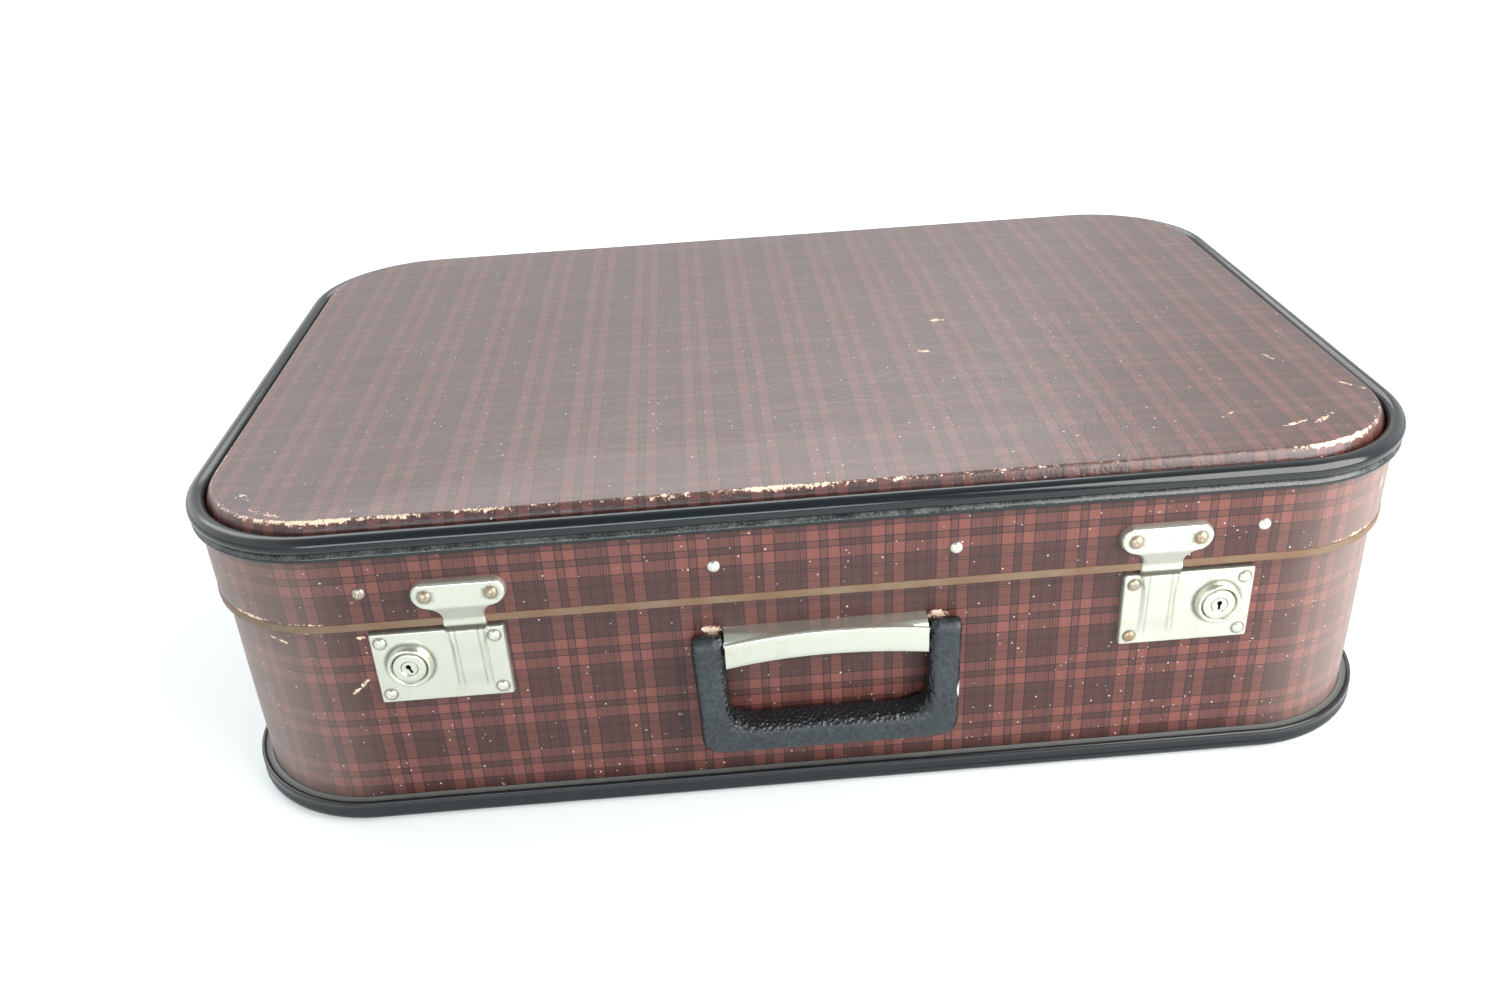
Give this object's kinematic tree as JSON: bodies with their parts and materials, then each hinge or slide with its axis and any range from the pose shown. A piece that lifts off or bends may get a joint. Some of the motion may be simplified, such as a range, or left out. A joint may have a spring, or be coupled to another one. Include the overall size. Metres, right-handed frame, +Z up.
{
  "type": "vintage suitcase",
  "caption": "Old fibreboard suitcase with tartan covering, black edge bindings, push-button key locks with hasps, a black swing handle, a hinged lid and slotted lid stays.",
  "frame": {"origin": "on the floor, under the middle of the base panel", "axes": "+X to the right along the case's width, +Y from the locks to the hinges, +Z up"},
  "size_m": [0.6, 0.4096, 0.1715],
  "materials": {
    "tartan_board": "printed tartan covering, worn and slightly glossy",
    "binding": "worn black plastic",
    "lining": "matt lining paper",
    "edge_tape": "worn cloth tape",
    "nickel": "worn nickel plate",
    "steel": "plain steel",
    "brass": "tarnished",
    "handle_plastic": "moulded leather grain"
  },
  "bodies": {
    "tray": {"tray_wall": "tartan_board", "base_panel": "tartan_board", "base_binding": "binding", "tray_floor_lining": "lining", "tray_wall_lining": "lining", "lock_plate_left": "nickel", "lock_plate_right": "nickel", "lock_collar_left": "nickel", "lock_collar_right": "nickel", "lock_nails_left": "nickel", "lock_nails_right": "nickel", "lock_case_left": "steel", "lock_case_right": "steel", "button_spring_left": "steel", "button_spring_right": "steel", "handle_bracket": "nickel", "handle_rivets": "nickel", "handle_backing_plate": "steel", "hinge_tray_leaf_left": "nickel", "hinge_tray_leaf_right": "nickel", "hinge_pins": "steel", "hinge_tray_rivets": "nickel", "stay_tray_brackets": "steel", "stay_tray_rivets": "nickel"},
    "lid": {"lid_wall": "tartan_board", "lid_panel": "tartan_board", "lid_binding": "binding", "lid_edge_tape": "edge_tape", "lid_stop_band": "lining", "lid_rivets": "nickel", "lid_top_lining": "lining", "lid_wall_lining": "lining", "hasp_left": "nickel", "hasp_right": "nickel", "hasp_rivets_left": "brass", "hasp_rivets_right": "brass", "hinge_lid_leaf_left": "nickel", "hinge_lid_leaf_right": "nickel", "hinge_lid_rivets": "nickel", "stay_lid_brackets": "steel", "stay_lid_rivets": "nickel"},
    "handle": {"handle_grip": "handle_plastic", "handle_axle": "steel"},
    "button_left": {"lock_button_left": "nickel", "lock_catch_left": "steel"},
    "button_right": {"lock_button_right": "nickel", "lock_catch_right": "steel"},
    "key_left": {"key_plug_left": "steel"},
    "key_right": {"key_plug_right": "steel"},
    "stay_left": {"stay_arm_left": "steel"},
    "stay_right": {"stay_arm_right": "steel"}
  },
  "joints": [
    {"name": "lid_hinge", "type": "hinge", "parent": "tray", "child": "lid", "pos_m": [0, 0.1981, 0.1145], "axis": [-1, 0, 0], "range_deg": [0, 95]},
    {"name": "handle_swing", "type": "hinge", "parent": "tray", "child": "handle", "pos_m": [0.004, -0.199, 0.092], "axis": [-1, 0, 0], "range_deg": [0, 160]},
    {"name": "button_press_left", "type": "slide", "parent": "tray", "child": "button_left", "axis": [0, 1, 0], "range_m": [0, 0.0025], "stiffness_N_per_m": 600, "springref_m": -0.002, "deforming": ["button_spring_left"]},
    {"name": "button_press_right", "type": "slide", "parent": "tray", "child": "button_right", "axis": [0, 1, 0], "range_m": [0, 0.0025], "stiffness_N_per_m": 600, "springref_m": -0.002, "deforming": ["button_spring_right"]},
    {"name": "key_turn_left", "type": "hinge", "parent": "button_left", "child": "key_left", "pos_m": [-0.1935, -0.2, 0.093], "axis": [0, 1, 0], "range_deg": [0, 90]},
    {"name": "key_turn_right", "type": "hinge", "parent": "button_right", "child": "key_right", "pos_m": [0.1935, -0.2, 0.093], "axis": [0, 1, 0], "range_deg": [0, 90]},
    {"name": "stay_swing_left", "type": "hinge", "parent": "lid", "child": "stay_left", "pos_m": [-0.2773, 0.13102, 0.1345], "axis": [-1, 0, 0], "range_deg": [-47.5, 0]},
    {"name": "stay_swing_right", "type": "hinge", "parent": "lid", "child": "stay_right", "pos_m": [0.2773, 0.13102, 0.1345], "axis": [-1, 0, 0], "range_deg": [-47.5, 0]}
  ],
  "couplings": [
    {"joint": "stay_swing_left", "follows": "lid_hinge", "ratio": -0.5},
    {"joint": "stay_swing_right", "follows": "lid_hinge", "ratio": -0.5}
  ]
}
